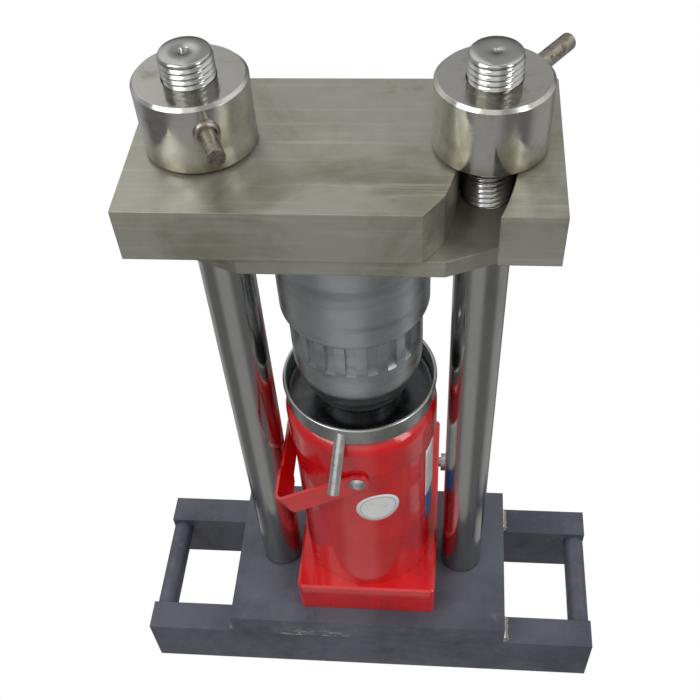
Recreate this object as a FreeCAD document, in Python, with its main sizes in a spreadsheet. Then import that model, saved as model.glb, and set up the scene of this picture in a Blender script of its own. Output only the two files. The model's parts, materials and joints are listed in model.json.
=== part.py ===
"""Hand hydraulic oil press: a bottle jack between two columns pushes a piston up into a fluted press barrel.

Origin: the middle of the footprint, on the floor.  +X to the right, +Y to the rear, +Z up, millimetres.
Every position below is measured from the press axis, the upright line through the jack, the barrel and the
middle of the column line.  AXIS_Y moves that line to its place in the part's own frame.
"""
import FreeCAD, Part
import math
import os

import Sketcher
from FreeCAD import Placement, Rotation, Vector

doc = FreeCAD.newDocument("OilPress")
sheet = doc.addObject("Spreadsheet::Sheet", "Sizes")


class Term:
    """A size with its value in millimetres or degrees and the formula that binds a property to it."""

    def __init__(self, text, value):
        self.text = text
        self.value = float(value)

    def join(self, other, sign, value, swap=False):
        other = as_term(other)
        left, right = (other, self) if swap else (self, other)
        return Term(f"({left.text} {sign} {right.text})", value(left.value, right.value))

    def __add__(self, other):
        return self.join(other, "+", lambda a, b: a + b)

    def __radd__(self, other):
        return self.join(other, "+", lambda a, b: a + b, swap=True)

    def __sub__(self, other):
        return self.join(other, "-", lambda a, b: a - b)

    def __rsub__(self, other):
        return self.join(other, "-", lambda a, b: a - b, swap=True)

    def __mul__(self, other):
        return self.join(other, "*", lambda a, b: a * b)

    def __rmul__(self, other):
        return self.join(other, "*", lambda a, b: a * b, swap=True)

    def __truediv__(self, other):
        return self.join(other, "/", lambda a, b: a / b)

    def __neg__(self):
        return Term(f"(-{self.text})", -self.value)


def as_term(number):
    return number if isinstance(number, Term) else Term(repr(float(number)), number)


def root_of(term):
    return Term(f"sqrt({term.text})", math.sqrt(term.value))


def sine(degrees):
    degrees = as_term(degrees)
    return Term(f"sin({degrees.text})", math.sin(math.radians(degrees.value)))


def cosine(degrees):
    degrees = as_term(degrees)
    return Term(f"cos({degrees.text})", math.cos(math.radians(degrees.value)))


def size(alias, value, note):
    """Writes one driving size into the sheet and returns it as a Term."""
    row = size.rows = getattr(size, "rows", 0) + 1
    sheet.set(f"A{row}", note)
    sheet.set(f"B{row}", str(value))
    sheet.setAlias(f"B{row}", alias)
    return Term(f"Sizes.{alias}", value)


# ---------------------------------------------------------------- driving sizes
slide_gap = size("slide_gap", 0.3, "gap between faces that move past each other")
fit_gap = size("fit_gap", 0.05, "radial clearance of a running or seated fit")

rail_length = size("rail_length", 432, "length of both rails")
rail_height = size("rail_height", 60, "rails stand on edge")
rail_thick = size("rail_thick", 28, "thickness of the rail bars")
frame_front = size("frame_front", 79, "press axis to the front rail's outer face")
frame_rear = size("frame_rear", 75, "press axis to the rear rail's outer face")
grip_radius = size("grip_radius", 10, "round handle bars between the rails")
grip_inset = size("grip_inset", 10, "rail end to the handle bar's axis")
grip_height = size("grip_height", 46, "floor to the handle bar's axis")
plate_length = size("plate_length", 262, "base plate along the rails")
plate_front = size("plate_front", 80.5, "press axis to the base plate's front edge")
plate_rear = size("plate_rear", 76.5, "press axis to the base plate's rear edge")
plate_thick = size("plate_thick", 28, "base plate")
weld_leg = size("weld_leg", 6, "fillet welds between plate and rails")

column_spacing = size("column_spacing", 177, "between the column axes")
column_radius = size("column_radius", 19, "chromed columns")
thread_radius = size("thread_radius", 16.5, "M33 upper thread")
shank_radius = size("shank_radius", 13.5, "M27 lower thread through the base plate")
shank_reach = size("shank_reach", 28, "lower thread below the base plate")
foot_nut_flats = size("foot_nut_flats", 41, "across the flats of the foot nuts")
foot_nut_height = size("foot_nut_height", 22, "foot nuts")
stud_rise = size("stud_rise", 15.6, "thread above the round nuts")
stud_chamfer = size("stud_chamfer", 1.5, "thread end")
left_centre_hole = size("left_centre_hole", 3.5, "radius of the hole in the left column's end")
right_centre_hole = size("right_centre_hole", 1.6, "radius of the hole in the right column's end")

flange_thick = size("flange_thick", 12, "flange plate on the columns' shoulders")
flange_overhang = size("flange_overhang", 25.5, "column axis to the flange plate's end")
flange_half_depth = size("flange_half_depth", 66, "middle to the flange plate's long edge")
flange_corner_length = size("flange_corner_length", 50, "cut corner, along the long edge")
flange_corner_depth = size("flange_corner_depth", 21, "cut corner, along the end")

beam_length = size("beam_length", 265, "top beam")
beam_depth = size("beam_depth", 136, "top beam, front to rear")
beam_thick = size("beam_thick", 36, "top beam")
slot_half_width = size("slot_half_width", 18, "arc slot about the left column")
slot_flare = size("slot_flare", 5, "lead-in on the slot's left wall, at the front")
slot_flare_length = size("slot_flare_length", 18, "lead-in, front to rear")

nut_radius = size("nut_radius", 35, "round nuts")
nut_height = size("nut_height", 45, "round nuts")
nut_chamfer = size("nut_chamfer", 2, "round nuts, both rims")
tommy_radius = size("tommy_radius", 5.5, "tommy bars")
tommy_height = size("tommy_height", 28, "foot of the nut to the tommy bar's axis")
tommy_seat = size("tommy_seat", 14, "depth of the tommy bar in the nut")
left_tommy_reach = size("left_tommy_reach", 24.5, "left bar beyond its nut")
left_tommy_angle = size("left_tommy_angle", -67.8, "left bar's direction about the column")
right_tommy_reach = size("right_tommy_reach", 44, "right bar beyond its nut")
right_tommy_angle = size("right_tommy_angle", 54, "right bar's direction about the column")

barrel_radius = size("barrel_radius", 49, "press barrel")
barrel_gap = size("barrel_gap", 15.9, "top of the jack to the barrel's lower end")
barrel_bore = size("barrel_bore", 41, "radius of the pressing chamber")
barrel_length = size("barrel_length", 177.6, "whole press barrel")
barrel_floor = size("barrel_floor", 16, "thickness of the barrel's floor ring")
barrel_lip = size("barrel_lip", 3, "radial width of the lip that hangs the barrel in its jacket")
barrel_lip_height = size("barrel_lip_height", 4, "that lip's height")
collar_radius = size("collar_radius", 37.5, "collar under the barrel")
collar_height = size("collar_height", 6, "collar under the barrel")
collar_bore = size("collar_bore", 32, "way through for the ram")
nose_step = size("nose_step", 2, "collar to the foot of the rounded nose, radially")
nose_height = size("nose_height", 31, "collar to the straight wall of the barrel")
flute_count = size("flute_count", 20, "oil flutes round the barrel")
flute_width = size("flute_width", 7.6, "oil flutes")
flute_depth = size("flute_depth", 4, "oil flutes")
flute_cutter = size("flute_cutter", 26, "radius of the flutes' run-out")
flute_foot = size("flute_foot", 51.6, "barrel's lower end to the flutes' lower end")
flute_head = size("flute_head", 14, "barrel's upper end to the flutes' upper end")

jacket_radius = size("jacket_radius", 54, "jacket round the barrel")
jacket_length = size("jacket_length", 93.5, "jacket with its flange")
jacket_flange_radius = size("jacket_flange_radius", 60, "flange that hangs the jacket in the flange plate")
jacket_flange_height = size("jacket_flange_height", 7, "jacket's flange")
jacket_round = size("jacket_round", 4.5, "rounded lower edge of the jacket")

base_width = size("base_width", 128, "jack base")
base_front = size("base_front", 64.3, "press axis to the jack base's front face")
base_rear = size("base_rear", 140, "press axis to the jack base's rear face")
base_height = size("base_height", 39, "jack base")
base_corner = size("base_corner", 5, "upright corners of the jack base")
base_bevel = size("base_bevel", 2, "upper edges of the jack base")
tank_radius = size("tank_radius", 58.5, "jack tank")
tank_wall = size("tank_wall", 4, "jack tank")
tank_height = size("tank_height", 174, "jack base to the cap's skirt")
cap_radius = size("cap_radius", 61, "jack cap")
cap_height = size("cap_height", 37.5, "jack cap")
cap_skirt = size("cap_skirt", 8, "cap's overlap on the tank")
cap_shoulder = size("cap_shoulder", 13, "rounded shoulder of the cap")
cylinder_bore = size("cylinder_bore", 36, "radius of the jack's inner cylinder")
cylinder_wall = size("cylinder_wall", 8, "jack's inner cylinder")
cylinder_seat = size("cylinder_seat", 12, "inner cylinder's seat in the base and in the cap")
ram_radius = size("ram_radius", 30, "jack ram")
ram_rest = size("ram_rest", 3, "oil space under the ram's foot")
ram_foot = size("ram_foot", 20, "height of the ram's foot")
seal_height = size("seal_height", 6, "ram and gland seals")
seal_depth = size("seal_depth", 4, "ram and gland seals")
piston_height = size("piston_height", 22, "press piston")

tray_radius = size("tray_radius", 59.4, "oil tray")
tray_wall = size("tray_wall", 1.8, "oil tray")
tray_height = size("tray_height", 19.8, "oil tray")
tray_bead = size("tray_bead", 1.6, "radius of the rolled rim")
tray_bend = size("tray_bend", 4, "rounded foot of the tray's wall")
tray_hub = size("tray_hub", 3, "radial width of the hub round the ram")
tray_hub_height = size("tray_hub_height", 9, "hub round the ram")
spout_radius = size("spout_radius", 4.5, "oil spout")
spout_wall = size("spout_wall", 1, "oil spout")
spout_length = size("spout_length", 44, "oil spout, from the tray's wall")
spout_drop = size("spout_drop", 12.8, "tray's rim to the spout's axis at the wall")
spout_angle = size("spout_angle", -101, "spout's direction about the press axis")
spout_slope = size("spout_slope", 53, "spout below the horizontal")

bail_rise = size("bail_rise", 168.6, "jack base to the bail's pivots")
bail_width = size("bail_width", 20, "flat strip of the carry bail, at its arms")
bail_grip_width = size("bail_grip_width", 15, "flat strip between tank and column")
bail_grip_length = size("bail_grip_length", 52, "narrow stretch of the bail, between tank and column")
bail_taper = size("bail_taper", 6, "run from the narrow stretch to the full width")
bail_offset = size("bail_offset", 61.5, "press axis to the arms' inner faces")
bail_thick = size("bail_thick", 3, "carry bail")
bail_reach = size("bail_reach", 75.4, "pivot to the cross-piece's outer face")
bail_bend = size("bail_bend", 9, "outer radius of the bail's bends")
bail_angle = size("bail_angle", 30, "bail below the horizontal")
rivet_radius = size("rivet_radius", 4, "bail's pivot rivets")
rivet_shoulder = size("rivet_shoulder", 5.2, "rivets' shoulders between tank and bail")
rivet_head = size("rivet_head", 7, "rivets' heads")
rivet_head_height = size("rivet_head_height", 3.2, "rivets' heads")

pump_offset = size("pump_offset", 99.5, "press axis to the pump's axis")
pump_radius = size("pump_radius", 15, "pump cylinder")
pump_height = size("pump_height", 56, "pump cylinder above the jack base")
pump_seat = size("pump_seat", 9, "pump cylinder's seat in the base")
pump_floor = size("pump_floor", 3, "jack base's top to the floor of the pump's bore")
pump_gland_radius = size("pump_gland_radius", 12.5, "pump gland")
pump_gland_height = size("pump_gland_height", 6, "pump gland")
plunger_radius = size("plunger_radius", 8, "pump plunger")
plunger_depth = size("plunger_depth", 27, "plunger's end to its seat in the pump")
lever_rise = size("lever_rise", 95, "jack base to the plunger's pin, handle up")
lever_arm = size("lever_arm", 30, "plunger's pin to the links' pin")
lever_tilt = size("lever_tilt", 18, "lever arm off the horizontal, handle up")
lever_half_width = size("lever_half_width", 8.9, "half the lever's thickness")
lever_eye = size("lever_eye", 10, "radius of the lever round its pins")
eye_thick = size("eye_thick", 10, "plunger eye, between the lever's cheeks")
eye_flats = size("eye_flats", 14, "plunger's pin down to the end of its flats")
pin_radius = size("pin_radius", 4, "lever pins")
pin_head = size("pin_head", 6, "radius of the lever pins' heads")
pin_head_height = size("pin_head_height", 1.8, "lever pins' heads")
socket_radius = size("socket_radius", 16, "handle socket")
socket_bore = size("socket_bore", 12.5, "radius of the handle socket's bore")
socket_start = size("socket_start", 13, "plunger's pin to the socket tube's lower end")
socket_floor = size("socket_floor", 19, "plunger's pin to the bore's floor")
socket_reach = size("socket_reach", 64, "plunger's pin to the socket's mouth")
socket_slope = size("socket_slope", 70, "socket above the horizontal, handle up")
link_thick = size("link_thick", 4, "links")
link_half_width = size("link_half_width", 8, "links")
link_play = size("link_play", 1.2, "play of the links' foot pin")
link_foot_rise = size("link_foot_rise", 18, "jack base to the links' foot pin")
lug_half_width = size("lug_half_width", 9, "half the thickness of the lug on the jack base")
lug_front = size("lug_front", 61.5, "press axis to the lug's front face")
lug_length = size("lug_length", 19, "lug, front to rear")
lug_height = size("lug_height", 28, "lug")
valve_offset = size("valve_offset", 100, "press axis to the release valve, front to rear")
valve_rise = size("valve_rise", 19, "jack base's foot to the release valve")
valve_stem = size("valve_stem", 5, "radius of the release valve's stem")
valve_head = size("valve_head", 9, "radius of the release valve's head")
valve_head_length = size("valve_head_length", 12, "release valve's head")
valve_gap = size("valve_gap", 2, "jack base to the release valve's head")
valve_slot = size("valve_slot", 4, "width of the slot in the release valve's head")
valve_slot_depth = size("valve_slot_depth", 6, "slot in the release valve's head")
valve_seat = size("valve_seat", 16, "release valve's stem in the base")
filler_radius = size("filler_radius", 6, "filler plug")
filler_rise = size("filler_rise", 150, "jack base to the filler plug")
filler_angle = size("filler_angle", 60, "filler plug's direction about the press axis")
filler_head = size("filler_head", 9, "radius of the filler plug's head")
filler_head_height = size("filler_head_height", 5, "filler plug's head")
doc.recompute()

# ---------------------------------------------------------------- levels and places that follow from them
SPOUT_REACH = tray_radius + spout_length * cosine(spout_slope)
SPOUT_LEAN = sine(spout_angle) * cosine(spout_slope)
FRONT_REACH = spout_radius * root_of(1 - SPOUT_LEAN * SPOUT_LEAN) - SPOUT_REACH * sine(spout_angle)
AXIS_Y = (FRONT_REACH - base_rear) / 2
PLATE_TOP = rail_height + plate_thick
BASE_TOP = PLATE_TOP + base_height
CAP_FOOT = BASE_TOP + tank_height
CAP_TOP = CAP_FOOT + cap_height
TRAY_TOP = CAP_TOP + tray_height
BARREL_FOOT = CAP_TOP + barrel_gap
FLANGE_TOP = BARREL_FOOT + barrel_length
FLANGE_FOOT = FLANGE_TOP - flange_thick
BEAM_FOOT = FLANGE_TOP + slide_gap
BEAM_TOP = BEAM_FOOT + beam_thick
NUT_FOOT = BEAM_TOP + slide_gap
NUT_TOP = NUT_FOOT + nut_height
STUD_TOP = NUT_TOP + stud_rise
PISTON_FOOT = BARREL_FOOT + barrel_floor + slide_gap
LEFT_X = -column_spacing / 2
RIGHT_X = column_spacing / 2
PIN_Z = BASE_TOP + lever_rise
LINK_Y = pump_offset - lever_arm * cosine(lever_tilt)
LINK_Z = PIN_Z - lever_arm * sine(lever_tilt)
FOOT_PIN_Y = LINK_Y - lever_arm * (1 - cosine(lever_tilt)) / 2
FOOT_PIN_Z = BASE_TOP + link_foot_rise
X_AXIS, Y_AXIS, Z_AXIS = Vector(1, 0, 0), Vector(0, 1, 0), Vector(0, 0, 1)
THROUGH = 2 * rail_length

pieces = []


# ---------------------------------------------------------------- helpers
def bind(obj, prop, term):
    obj.setExpression(prop, as_term(term).text)


def place(obj, x=0, y=0, z=0, axis=None, angle=None):
    """Binds an object's position, and its turn by an angle about an axis, to the sheet."""
    x, y, z = as_term(x), as_term(y), as_term(z)
    turn = Rotation(axis, as_term(angle).value) if axis is not None else Rotation()
    obj.Placement = Placement(Vector(x.value, y.value, z.value), turn)
    if axis is not None:
        bind(obj, "Placement.Rotation.Angle", angle)
    for name, term in (("x", x), ("y", y), ("z", z)):
        bind(obj, f"Placement.Base.{name}", term)
    return obj


def box(name, x, y, z):
    """A block between pairs of limits."""
    obj = doc.addObject("Part::Box", name)
    for prop, (low, high) in (("Length", x), ("Width", y), ("Height", z)):
        bind(obj, prop, as_term(high) - low)
    return place(obj, x[0], y[0], z[0])


def rod(name, radius, length, x=0, y=0, z=0, axis=None, angle=None):
    """A cylinder that starts at a point and runs along +Z, turned by an angle about an axis."""
    obj = doc.addObject("Part::Cylinder", name)
    bind(obj, "Radius", radius)
    bind(obj, "Height", length)
    return place(obj, x, y, z, axis, angle)


def cross_rod(name, radius, half_length, y, z):
    """A cylinder along X, centred on the middle plane."""
    return rod(name, radius, 2 * as_term(half_length), -as_term(half_length), y, z, Y_AXIS, 90)


def radial_rod(name, radius, inner, outer, angle, x=0, z=0):
    """A level cylinder that points away from an upright axis through x, between two distances from it."""
    obj = doc.addObject("Part::Cylinder", name)
    bind(obj, "Radius", radius)
    bind(obj, "Height", as_term(outer) - inner)
    inner, x, z = as_term(inner), as_term(x), as_term(z)
    start = Vector(x.value + inner.value * math.cos(math.radians(angle.value)),
                   inner.value * math.sin(math.radians(angle.value)), z.value)
    obj.Placement = Placement(start, Rotation(Z_AXIS, angle.value).multiply(Rotation(Y_AXIS, 90)))
    bind(obj, "Placement.Base.x", x + inner * cosine(angle))
    bind(obj, "Placement.Base.y", inner * sine(angle))
    bind(obj, "Placement.Base.z", z)
    return obj


def join(name, first, *others):
    obj = doc.addObject("Part::MultiFuse", name)
    obj.Shapes = [first, *others]
    return obj


def cut(name, base, *tools):
    """Cuts one tool, or several joined ones, out of a base."""
    obj = doc.addObject("Part::Cut", name)
    obj.Base = base
    obj.Tool = tools[0] if len(tools) == 1 else join(name + "_tools", *tools)
    return obj


def group(name, *members):
    obj = doc.addObject("Part::Compound", name)
    obj.Links = list(members)
    return obj


def piece(label, obj):
    """Gives a finished sub-part its label and moves it from the press axis to the part's own frame."""
    obj.Label = label
    y = obj.Placement.Base.y
    bound = dict((entry[0].lstrip("."), entry[1]) for entry in obj.ExpressionEngine)
    known = bound.get("Placement.Base.y")
    term = AXIS_Y if known is None else Term(f"({known} + {AXIS_Y.text})", y + AXIS_Y.value)
    bind(obj, "Placement.Base.y", term)
    pieces.append(obj)
    return obj


def new_body(name):
    return doc.addObject("PartDesign::Body", name)


def new_sketch(body, name, plane):
    sketch = body.newObject("Sketcher::SketchObject", name)
    support = next(item for item in body.Origin.OriginFeatures if item.Role == plane)
    sketch.AttachmentSupport = [(support, "")]
    sketch.MapMode = "FlatFace"
    return sketch


def outline(sketch, corners):
    """Closes a run of corners, each (across, up) or (across, up, bulge), in a sketch bound to the sheet.

    bulge is the radius of the arc that leads to the next corner: positive turns left along the way, negative
    right.  The arc is the shorter one, or a half circle.
    """
    corners = [tuple(as_term(value) for value in corner) for corner in corners]
    first = sketch.GeometryCount
    starts = []
    for index, corner in enumerate(corners):
        here = Vector(corner[0].value, corner[1].value, 0)
        following = corners[(index + 1) % len(corners)]
        there = Vector(following[0].value, following[1].value, 0)
        if len(corner) == 3:
            radius = abs(corner[2].value)
            side = math.copysign(1, corner[2].value)
            chord = there - here
            height = math.sqrt(max(radius ** 2 - chord.Length ** 2 / 4, 0.0))
            normal = Vector(-chord.y, chord.x, 0).normalize()
            centre = here + chord / 2 + normal * height * side
            middle = centre - normal * radius * side
            sketch.addGeometry(Part.Arc(here, middle, there), False)
            starts.append(1 if side > 0 else 2)
        else:
            sketch.addGeometry(Part.LineSegment(here, there), False)
            starts.append(1)
    for index, corner in enumerate(corners):
        before = (index - 1) % len(corners)
        sketch.addConstraint(Sketcher.Constraint(
            "Coincident", first + before, 3 - starts[before], first + index, starts[index]))
        for kind, term in (("DistanceX", corner[0]), ("DistanceY", corner[1])):
            number = sketch.addConstraint(Sketcher.Constraint(
                kind, -1, 1, first + index, starts[index], term.value))
            bind(sketch, f"Constraints[{number}]", term)
        if len(corner) == 3:
            radius = corner[2] if corner[2].value > 0 else -corner[2]
            chord = math.dist((corner[0].value, corner[1].value),
                              tuple(term.value for term in corners[(index + 1) % len(corners)][:2]))
            if chord < 1.999 * radius.value:
                kind, point, term = "Radius", (), radius
            else:
                following = corners[(index + 1) % len(corners)]
                level = abs(following[0].value - corner[0].value) > abs(following[1].value - corner[1].value)
                kind = "DistanceY" if level else "DistanceX"
                point = (3,)
                term = (corner[level] + following[level]) / 2
            before = (-1, 1) if point else ()
            where = (*before, first + index, *point)
            number = sketch.addConstraint(Sketcher.Constraint(kind, *where, term.value))
            bind(sketch, f"Constraints[{number}]", term)
    return sketch


def turn(body, name, corners):
    """Revolves an outline of (radius, height) corners about the body's Z axis."""
    sketch = outline(new_sketch(body, name + "_profile", "XZ_Plane"), corners)
    feature = body.newObject("PartDesign::Revolution", name)
    feature.Profile = sketch
    feature.ReferenceAxis = (sketch, ["V_Axis"])
    feature.Angle = 360
    body.Tip = feature
    return feature


def pad(body, name, plane, corners, length, middle=False):
    feature = body.newObject("PartDesign::Pad", name)
    feature.Profile = outline(new_sketch(body, name + "_outline", plane), corners)
    bind(feature, "Length", length)
    if middle:
        feature.Midplane = True
    body.Tip = feature
    return feature


def through_pocket(body, name, plane, *outlines):
    """Cuts outlines right through the body, both ways from the plane."""
    sketch = new_sketch(body, name + "_outline", plane)
    for corners in outlines:
        outline(sketch, corners)
    feature = body.newObject("PartDesign::Pocket", name)
    feature.Profile = sketch
    feature.Type = 0
    feature.Midplane = True
    bind(feature, "Length", THROUGH)
    body.Tip = feature
    return feature


def turned_piece(label, corners, x=0, y=0, z=0):
    body = new_body(label + "_body")
    turn(body, label + "_turning", corners)
    place(body, x, y, z)
    return piece(label, body)


def round_hole(across, up, radius):
    """A circle as two half arcs, for outline()."""
    across, up, radius = as_term(across), as_term(up), as_term(radius)
    return [(across - radius, up, radius), (across + radius, up, radius)]


def edges_where(shape, test):
    """Names of the edges whose middle point passes a test."""
    names = []
    for number, edge in enumerate(shape.Edges, start=1):
        middle = edge.valueAt((edge.FirstParameter + edge.LastParameter) / 2)
        if test(edge, middle):
            names.append(f"Edge{number}")
    return names


def soften(body, name, kind, amount, test):
    """Adds a Fillet or Chamfer on the edges that pass a test."""
    doc.recompute()
    base = body.Tip
    feature = body.newObject("PartDesign::" + kind, name)
    feature.Base = (base, edges_where(base.Shape, test))
    bind(feature, "Radius" if kind == "Fillet" else "Size", amount)
    body.Tip = feature
    return feature


def near(value, term, tolerance=0.01):
    return abs(value - as_term(term).value) < tolerance


def arc_through(rise, run):
    """Radius of an arc that starts upright and moves run sideways over rise."""
    return (rise * rise + run * run) / (2 * run)


# ---------------------------------------------------------------- welded foot frame
def rails():
    half = rail_length / 2
    front = box("front_bar", (-half, half), (-frame_front, rail_thick - frame_front), (0, rail_height))
    rear = box("rear_bar", (-half, half), (frame_rear - rail_thick, frame_rear), (0, rail_height))
    piece("front_rail", front)
    piece("rear_rail", rear)


def handle_bars():
    start = rail_thick - frame_front
    length = frame_front + frame_rear - 2 * rail_thick
    reach = rail_length / 2 - grip_inset
    for label, x in (("left_handle_bar", -reach), ("right_handle_bar", reach)):
        piece(label, rod(label + "_rod", grip_radius, length, x, start, grip_height, X_AXIS, -90))


def base_plate():
    half = plate_length / 2
    slab = box("plate_slab", (-half, half), (-plate_front, plate_rear), (rail_height, PLATE_TOP))
    holes = [rod(f"plate_hole{number}", shank_radius + fit_gap, THROUGH, x, 0, 0)
             for number, x in enumerate((LEFT_X, RIGHT_X), start=1)]
    piece("base_plate", cut("plate_cut", slab, *holes))


def weld_beads():
    beads = []
    for side in (-1, 1):
        for middle in (rail_thick / 2 - frame_front, frame_rear - rail_thick / 2):
            body = new_body(f"bead{len(beads) + 1}")
            foot = (0, 0), (side * weld_leg, 0), (0, weld_leg)
            pad(body, f"bead{len(beads) + 1}_pad", "XZ_Plane", foot, rail_thick - weld_leg / 3, middle=True)
            beads.append(place(body, side * plate_length / 2, middle, rail_height))
    piece("weld_beads", group("beads", *beads))


# ---------------------------------------------------------------- columns
def column(label, x, centre_hole):
    foot = rail_height - shank_reach
    cone = centre_hole * 0.6
    turned_piece(label, [
        (0, foot), (shank_radius, foot), (shank_radius, PLATE_TOP), (column_radius, PLATE_TOP),
        (column_radius, FLANGE_FOOT), (thread_radius, FLANGE_FOOT), (thread_radius, STUD_TOP - stud_chamfer),
        (thread_radius - stud_chamfer, STUD_TOP), (centre_hole, STUD_TOP),
        (centre_hole, STUD_TOP - 2 * centre_hole), (0, STUD_TOP - 2 * centre_hole - cone)], x)


def columns():
    column("left_column", LEFT_X, left_centre_hole)
    column("right_column", RIGHT_X, right_centre_hole)


def column_foot_nuts():
    nuts = []
    for number, x in enumerate((LEFT_X, RIGHT_X), start=1):
        hexagon = doc.addObject("Part::Prism", f"foot_hexagon{number}")
        hexagon.Polygon = 6
        bind(hexagon, "Circumradius", foot_nut_flats / root_of(as_term(3)))
        bind(hexagon, "Height", foot_nut_height)
        place(hexagon, x, 0, rail_height - foot_nut_height)
        bore = rod(f"foot_bore{number}", shank_radius + fit_gap, THROUGH, x, 0, 0)
        nuts.append(cut(f"foot_nut{number}", hexagon, bore))
    piece("column_foot_nuts", group("foot_nuts", *nuts))


# ---------------------------------------------------------------- head of the press
def flange_plate():
    body = new_body("flange_body")
    long, deep = column_spacing / 2 + flange_overhang, flange_half_depth
    short, shallow = long - flange_corner_length, deep - flange_corner_depth
    pad(body, "flange_pad", "XY_Plane", [
        (-long, -shallow), (-short, -deep), (short, -deep), (long, -shallow),
        (long, shallow), (short, deep), (-short, deep), (-long, shallow)], flange_thick)
    place(body, 0, 0, FLANGE_FOOT)
    cutters = [rod(f"flange_hole{number}", thread_radius + fit_gap, THROUGH, x, 0, 0)
               for number, x in enumerate((LEFT_X, RIGHT_X), start=1)]
    cutters.append(rod("flange_bore", jacket_radius + fit_gap, THROUGH))
    cutters.append(rod("flange_recess", jacket_flange_radius + fit_gap, THROUGH, 0, 0,
                       FLANGE_TOP - jacket_flange_height))
    piece("flange_plate", cut("flange_cut", body, *cutters))


def barrel_jacket():
    inner = barrel_radius + fit_gap
    lip = barrel_radius + barrel_lip + fit_gap
    foot = FLANGE_TOP - jacket_length
    turned_piece("barrel_jacket", [
        (inner, foot), (jacket_radius - jacket_round, foot, jacket_round),
        (jacket_radius, foot + jacket_round),
        (jacket_radius, FLANGE_TOP - jacket_flange_height),
        (jacket_flange_radius, FLANGE_TOP - jacket_flange_height), (jacket_flange_radius, FLANGE_TOP),
        (lip, FLANGE_TOP), (lip, FLANGE_TOP - barrel_lip_height), (inner, FLANGE_TOP - barrel_lip_height)])


def press_barrel():
    body = new_body("barrel_body")
    nose_foot = collar_radius + nose_step
    lip = barrel_radius + barrel_lip
    turn(body, "barrel_turning", [
        (collar_bore, 0), (collar_radius, 0), (collar_radius, collar_height), (nose_foot, collar_height,
         arc_through(nose_height, barrel_radius - nose_foot)),
        (barrel_radius, collar_height + nose_height), (barrel_radius, barrel_length - barrel_lip_height),
        (lip, barrel_length - barrel_lip_height), (lip, barrel_length), (barrel_bore, barrel_length),
        (barrel_bore, barrel_floor), (collar_bore, barrel_floor)])
    outer = barrel_radius + flute_depth
    bottom = barrel_radius - flute_depth
    swing = flute_cutter - (outer - bottom)
    drop = root_of(flute_cutter * flute_cutter - swing * swing)
    centre = flute_foot + root_of(flute_cutter * flute_cutter - (flute_cutter - flute_depth) * (
        flute_cutter - flute_depth))
    sketch = outline(new_sketch(body, "flute_outline", "XZ_Plane"), [
        (bottom, centre), (bottom, barrel_length - flute_head), (outer, barrel_length - flute_head),
        (outer, centre - drop, -flute_cutter)])
    flute = body.newObject("PartDesign::Pocket", "flute")
    flute.Profile = sketch
    flute.Midplane = True
    bind(flute, "Length", flute_width)
    body.Tip = flute
    doc.recompute()
    flutes = body.newObject("PartDesign::PolarPattern", "flutes")
    flutes.Originals = [flute]
    flutes.Axis = (sketch, ["V_Axis"])
    flutes.Angle = 360
    bind(flutes, "Occurrences", flute_count)
    body.Tip = flutes
    place(body, 0, 0, BARREL_FOOT)
    piece("press_barrel", body)


def top_beam():
    body = new_body("beam_body")
    long, deep = beam_length / 2, beam_depth / 2
    near_wall, far_wall = column_spacing - slot_half_width, column_spacing + slot_half_width
    near_mouth = LEFT_X + root_of(near_wall * near_wall - deep * deep)
    far_mouth = LEFT_X + root_of(far_wall * far_wall - deep * deep)
    flare_top = deep - slot_flare_length
    flare_x = LEFT_X + root_of(near_wall * near_wall - flare_top * flare_top)
    pad(body, "beam_pad", "XY_Plane", [
        (-long, -deep), (near_mouth - slot_flare, -deep), (flare_x, -flare_top, near_wall),
        (RIGHT_X - slot_half_width, 0, -slot_half_width), (RIGHT_X + slot_half_width, 0, -far_wall),
        (far_mouth, -deep), (long, -deep), (long, deep), (-long, deep)], beam_thick)
    place(body, 0, 0, BEAM_FOOT)
    pivot = rod("beam_pivot", thread_radius + fit_gap, THROUGH, LEFT_X, 0, 0)
    piece("top_beam", cut("beam_cut", body, pivot))


def round_nut(side, x, reach, angle):
    bore = thread_radius + fit_gap
    body = new_body(side + "_nut_body")
    turn(body, side + "_nut_turning", [
        (bore, 0), (nut_radius - nut_chamfer, 0), (nut_radius, nut_chamfer),
        (nut_radius, nut_height - nut_chamfer), (nut_radius - nut_chamfer, nut_height), (bore, nut_height)])
    place(body, x, 0, NUT_FOOT)
    height = NUT_FOOT + tommy_height
    inner = nut_radius - tommy_seat
    seat = radial_rod(side + "_nut_seat", tommy_radius + fit_gap, inner, nut_radius + tommy_seat, angle,
                      x, height)
    piece(side + "_nut", cut(side + "_nut_cut", body, seat))
    piece(side + "_tommy_bar", radial_rod(side + "_tommy_rod", tommy_radius, inner, nut_radius + reach,
                                          angle, x, height))


def nuts():
    round_nut("left", LEFT_X, left_tommy_reach, left_tommy_angle)
    round_nut("right", RIGHT_X, right_tommy_reach, right_tommy_angle)


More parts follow.
